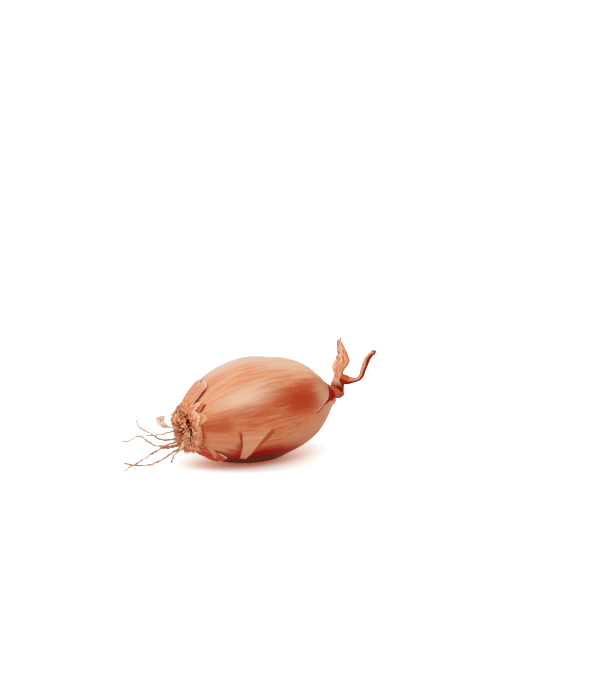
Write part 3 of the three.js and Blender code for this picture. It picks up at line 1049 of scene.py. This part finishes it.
def root_paint(name, pale, brown, dark, dark_end=0.4):
    """Dry root: pale and brown lengths by turns, dark where it leaves the plate."""
    paint = Paint(name)
    grain = paint.noise(paint.place(), 450, 3, 0.6)
    foot = 1 - paint.attribute("along").between(0.05, dark_end)
    colour = paint.layered(brown, (grain.between(0.4, 0.6), pale), (foot, dark))
    return paint.finish(colour, 0.75, grain, 0.1 * MM, specular=0.08)


long_root_paint = root_paint("dry_root", (232, 178, 142), (196, 108, 66), (206, 132, 92))
# The tuft's dark feet are painted shade, deep among the crowded fibres over the plate.
tuft_paint = root_paint("tuft_root", (255, 214, 166), (236, 92, 36), (160, 16, 0), dark_end=0.55)
scrap_paint = root_paint("pale_scrap", (250, 232, 216), (234, 190, 158), (224, 160, 120))

# The long roots: how many strands each has, and how thick they are next to the CAD's root.
LONG_ROOTS = {
    "upper": (1, 1.3),
    "kinked": (2, 0.95),
    "lowest": (2, 0.95),
    "bowed": (1, 1.35),
    "hooked": (2, 0.9),
    "straight": (1, 1.2),
    "stout": (4, 0.75),
    "blunt": (1, 2.6),
}
for seed, (name, (strands, thickness)) in enumerate(LONG_ROOTS.items()):
    frames = [ring_frame(ring) for ring in stalk_rings(f"root_{name}", plate_middle)]
    points = [frame[0] for frame in frames]
    points[0] += (plate_middle - points[0]).normalized() * 1.0 * MM
    radii = [max(frame[3], 0.2 * MM) * thickness for frame in frames]
    root_bm = bmesh.new()
    for strand in range(strands):
        wobble = (0.3 + 0.35 * (strands > 1)) * MM
        end = len(points) - strand % 3 * (name == "stout")
        thread = make_thread(points[:end], radii[:end], 8, 110, wobble, seed + 8 * strand)
        add_to(root_bm, thread)
    paint = scrap_paint if name == "blunt" else long_root_paint
    add_piece(f"root_{name}_thread", root_bm, paint, f"root_{name}")

SHORT_ROOTS = 16
FIBRES = 12  # threads in each of the tuft's bundles


def by_plate(turn, reach, height):
    """A point at a reach from the plate's middle, this much higher than its face, in mm."""
    away = above * math.cos(turn) + front * math.sin(turn)
    return plate_middle + away * reach * MM - axis * (0.9 + height) * MM


for bundle in range(SHORT_ROOTS):
    node = f"root_short_{bundle + 1}"
    chance = random.Random(700 + bundle)
    base = ring_frame(stalk_rings(node, plate_middle)[0])[0] - plate_middle
    toward = math.atan2(base.dot(front), base.dot(above))
    bundle_bm = bmesh.new()
    for fibre in range(FIBRES):
        turn = toward + chance.gauss(0, 0.35)
        start = 0.6 + 4 * math.sqrt(chance.random())
        reach = chance.uniform(1.4, 4.6) * (1 - 0.06 * start)
        height = chance.uniform(0.4, 2.6) * (1.2 - 0.12 * start)
        bend, curl = chance.gauss(0, 0.12), chance.gauss(0, 0.3)
        droop = chance.uniform(0.3, 1.1)
        points = [
            by_plate(turn, start, -0.6),
            by_plate(turn + bend, start + reach * 0.25, height * 0.8),
            by_plate(turn + bend + curl * 0.5, start + reach * 0.65, height),
            by_plate(turn + bend + curl, start + reach, max(height * droop, 0.35)),
        ]
        thick = chance.uniform(0.15, 0.27) * MM
        seed = bundle * 20 + fibre
        thread = make_thread(points, [thick, thick, thick, thick * 0.6], 5, 9, 0.35 * MM, seed)
        add_to(bundle_bm, thread)
    add_piece(f"tuft_{bundle + 1}", bundle_bm, tuft_paint, node)

# The scrap: a pale curl of papery skin that stands up among the roots.

scrap_frames = [ring_frame(ring) for ring in stalk_rings("root_scrap", plate_middle)]


def make_scrap():
    bm, along_layer = grid(44, 14, "along")
    middles = [frame[0] for frame in scrap_frames]
    for vertex in bm.verts:
        along, across = vertex.co.x + 0.5, vertex.co.y * 2
        ahead = heading(middles, along, 0.04)
        side = ahead.cross(Vector((0, 1, 0.2))).normalized()
        facing = side.cross(ahead).normalized()
        width = (0.45 + 0.85 * ramp(0.25, 0.7, along)) * MM
        width *= 1 - 0.4 * ragged(along, 3.0, 6, 20) - 0.6 * ramp(0.9, 1, along)
        crumple = noise_at(along * 6, across * 2.2, 8) * 1.3 * width
        cup = facing * ((across * across) * 0.5 * MM + crumple)
        vertex.co = curve_point(middles, along) + side * across * width + cup
        vertex[along_layer] = 0.4 + along
    thicken(bm, 0.09 * MM)
    return bm


add_piece("root_scrap_curl", make_scrap(), scrap_paint, "root_scrap")

# --------------------------------------
# Neck. The skins run together above the bulb into a flattened stub, folded over at a sharp
# corner. The dried stem rises from behind the fold, dark red inside, with one pale margin.

neck_foot = ring_frame(stalk_rings("neck", neck_pole)[0])[0]
sideways = Vector((0.89, -0.45, 0)).normalized()
behind = Vector((0.45, 0.89, 0)).normalized()
upwards = Vector((0, 0, 1))


def strand_frames(outline, level):
    """The middle, the way across, and the half width at each row of a flat strand's outline.

    A row gives how far sideways, behind and above the neck's foot its middle is, and its half
    width, in mm.
    """
    middles = [
        neck_foot + (sideways * side + behind * back + upwards * up) * MM
        for side, back, up, _ in outline
    ]
    ahead = [b - a for a, b in zip([middles[0], *middles], [*middles[1:], middles[-1]])]
    acrosses = [sideways if level else way.cross(behind).normalized() for way in ahead]
    return middles, acrosses, [(half * MM, 0, 0) for *_, half in outline]


def make_strand(outline, flatness, sides, steps, pleats, ridge, seed, blunt=0.03, level=False):
    """A closed strand along an outline, folded into pleats and wrinkled lengthwise.

    It has this many sides round it and steps along it. flatness is its thickness next to its
    width, pleats how closely its folds stand, ridge how high they are, and blunt the share of
    its length over which each end closes. Where level is true, its rows lie level.
    """
    middles, acrosses, halves = strand_frames(outline, level)
    bm, groove_layer, along_layer, side_layer = grid(steps, sides, "groove", "along", "side")
    place_layer = bm.verts.layers.float_vector.new("strand_place")
    length = sum((b - a).length for a, b in zip(middles, middles[1:]))
    for vertex in bm.verts:
        along, turn = vertex.co.x + 0.5, (vertex.co.y + 0.5) * math.tau
        ahead = heading(middles, along, 0.03)
        across = curve_point(acrosses, along)
        if not level:
            across = (across - ahead * across.dot(ahead) / ahead.length_squared).normalized()
        facing = ahead.cross(across).normalized()
        half = max(curve_point(halves, along).x, 0.02 * MM)
        half *= ramp(0, blunt, along) * ramp(1, 1 - blunt, along)
        side, depth = math.cos(turn), math.sin(turn)
        place = Vector((side * half / MM, depth * flatness * half / MM, along * length / MM))
        pleat = noise_at(place.x * pleats, place.z * 0.16, seed)
        wrinkle = 1 - 4 * abs(noise_at(place.x * 2.4, place.y * 2.4, place.z * 0.3 + seed))
        groove = pleat + 0.4 * wrinkle
        thin = min(half, 1.4 * MM)
        shift = ridge * pleat * half + math.copysign(ridge * 0.35 * wrinkle * thin, depth)
        vertex.co = curve_point(middles, along) + across * side * half * (1 + 0.1 * groove * ridge)
        vertex.co += facing * (flatness * half * depth + shift)
        vertex[groove_layer] = groove
        vertex[along_layer] = along
        vertex[side_layer] = side
        vertex[place_layer] = place
    return close_up(bm)


def add_strand(name, node, slot, paint, *shape, **more):
    """A strand in its paint, in the place of a CAD node. shape is what make_strand asks for."""
    add_piece(name, make_strand(*shape, **more), paint, node)


def strand_paint(name, main, pale, dark, foot, foot_end, shade=None, sides=(0, 1), tip=None):
    """Dried strand: pale on its ridges and dark in its grooves and along one side, all painted
    light and shade, with its own colours at its foot and tip.
    """
    paint = Paint(name)
    groove = paint.attribute("groove")
    grain = paint.noise(paint.place(), 800, 4, 0.6)
    line = paint.noise(paint.stretched(paint.attribute("strand_place", "Vector"), 5.2, 0.35), 1, 3)
    start = paint.attribute("along") + groove * 0.03 + (line - 0.5) * 0.2
    # The ridges are painted light and the grooves painted shade.
    layers = [
        (groove.between(-0.1, 0.5), pale),
        (line.between(0.52, 0.62) * 0.8, pale),
        ((1 - line.between(0.38, 0.45)) * 0.85, dark),
        ((1 - groove.between(-0.8, -0.4)) * 0.8, dark),
        (grain.between(0.5, 0.75) * 0.3, dark),
        (1 - start.between(foot_end * 0.4, foot_end), foot),
    ]
    if shade:
        layers.append(((paint.attribute("side") + groove * 0.4).between(*sides), shade))
    if tip:
        layers.append((paint.attribute("along").between(0.9, 0.97), tip))
    colour = paint.layered(main, *layers)
    return paint.finish(colour, 0.65, grain + line, 0.15 * MM, specular=0.08)


# The stub's lower edge is darker as painted shade.
add_strand(
    "neck_stub", "neck", "neck_skin",
    strand_paint(
        "neck_skin", (190, 78, 40), (208, 108, 66), (170, 54, 24), (204, 98, 58), 0.2,
        (160, 30, 8), (-0.35, -0.95),
    ),
    [
        (-2.1, 0.4, 1.4, 1.9), (-0.6, 0, 0.75, 2.2), (0.6, 0, 0.2, 1.95), (1.7, 0, -0.3, 1.7),
        (2.7, 0, -0.6, 1.35), (3.6, 0, -0.55, 0.85), (4.3, 0, -0.35, 0.4), (4.6, 0, -0.3, 0.15),
    ],
    0.75, 72, 70, 0.3, 0.08, 3.3,
)

add_strand(
    "neck_core", "neck", "neck_skin",
    strand_paint("neck_core", (150, 24, 10), (172, 44, 20), (112, 12, 6), (140, 16, 6), 0.3),
    [
        (3.2, 0.3, 0, 0.7), (3.5, 1.1, 1.7, 0.8), (3.6, 1.3, 3.3, 0.75), (3.8, 1.3, 4.7, 0.6),
        (3.9, 1.3, 5.8, 0.4),
    ],
    0.6, 32, 40, 1, 0.1, 4.4,
)

add_strand(
    "neck_margin", "neck", "neck_skin",
    strand_paint("neck_margin", (224, 142, 98), (240, 186, 150), (196, 96, 56), (190, 84, 46), 0.3),
    [
        (3.95, 0.3, -0.4, 0.28), (4.1, 0.6, 1, 0.26), (4.25, 0.8, 2.4, 0.22), (4.3, 0.9, 3.8, 0.18),
        (4.2, 1, 5, 0.12),
    ],
    0.9, 16, 40, 1, 0.15, 6.1,
)

# --------------------------------------
# Leaves. Two dried leaves are left on the neck: a broad one, which forms the stem and flares
# into a crumpled blade with a dark tip, and a thin rolled one, which sags and turns up again.


def raised(outline):
    """An outline stretched upwards a little."""
    return [(side, back, up * 1.013, half) for side, back, up, half in outline]


# The stem's dark red foot, where it meets the neck, and the blade's darker right edge are painted
# shade.
add_strand(
    "leaf_broad_crumpled", "leaf_broad", "dried_leaf",
    strand_paint(
        "dry_leaf", (244, 166, 112), (252, 216, 186), (194, 80, 38), (166, 26, 8), 0.19,
        (212, 118, 72), (0.5, 0.95), (150, 66, 34),
    ),
    raised([
        (2.9, 0.8, 0.7, 0.9), (2.1, 0.9, 2.1, 1.7), (1.6, 0.9, 3.1, 2.1), (1.8, 0.9, 4.4, 1.95),
        (2.2, 0.9, 5.7, 1.85), (2.2, 1, 6.8, 1.75), (2.3, 1.4, 8, 2.2), (2.7, 1.9, 9, 2.75),
        (3.2, 2.3, 9.9, 2.9), (3.7, 2.7, 11.1, 2.75), (3.7, 3, 12.5, 2.25), (3.8, 3.2, 13.7, 1.65),
        (3.5, 3.3, 15, 1.35), (3.1, 3.4, 16.4, 1.1), (2.9, 3.4, 17.7, 0.6), (3, 3.4, 18.6, 0.4),
        (3.1, 3.4, 19.2, 0.2),
    ]),
    0.3, 120, 220, 0.9, 0.24, 11.1, level=True,
)

# Its darker right edge is painted shadow, for the shadow the layer casts on the blade.
add_strand(
    "leaf_second_layer", "leaf_broad", "dried_leaf",
    strand_paint(
        "leaf_layer", (234, 166, 124), (244, 208, 182), (206, 112, 70), (184, 74, 38), 0.25,
        (176, 64, 30), (0.45, 0.9),
    ),
    raised([
        (2.4, 2.8, 13.3, 0.25), (2.15, 2.8, 14.6, 0.5), (2.1, 2.8, 15.9, 0.55), (2.1, 2.8, 17.1, 0.45),
        (2.1, 2.8, 18.2, 0.38), (2.15, 2.8, 18.8, 0.2),
    ]),
    0.35, 40, 60, 1.4, 0.3, 5.1,
)

# Its darker lower half is painted shade.
add_strand(
    "leaf_thin_rolled", "leaf_thin", "dried_leaf",
    strand_paint(
        "rolled_leaf", (224, 144, 98), (238, 182, 144), (192, 86, 46), (204, 96, 54), 0.3,
        (166, 36, 10), (0.3, -0.1),
    ),
    raised([
        (3, 0.8, 5.5, 1.5), (4.4, 0.8, 4.75, 1.8), (5.7, 0.9, 4.35, 1.6), (7.2, 0.9, 4.35, 1.1),
        (8.5, 1, 4.45, 0.85), (9.6, 1.1, 4.95, 0.85), (10.5, 1.3, 6, 0.92), (11, 1.6, 7.6, 1.02),
        (11.6, 1.9, 9.25, 1.1), (12.2, 2.2, 10.8, 1.15), (12.8, 2.4, 12, 1.12), (13.8, 2.7, 13.1, 0.9),
        (14.6, 2.9, 13.8, 0.95), (14.9, 3, 14.8, 0.95),
    ]),
    0.55, 56, 200, 1.1, 0.25, 2.9, 0.008,
)
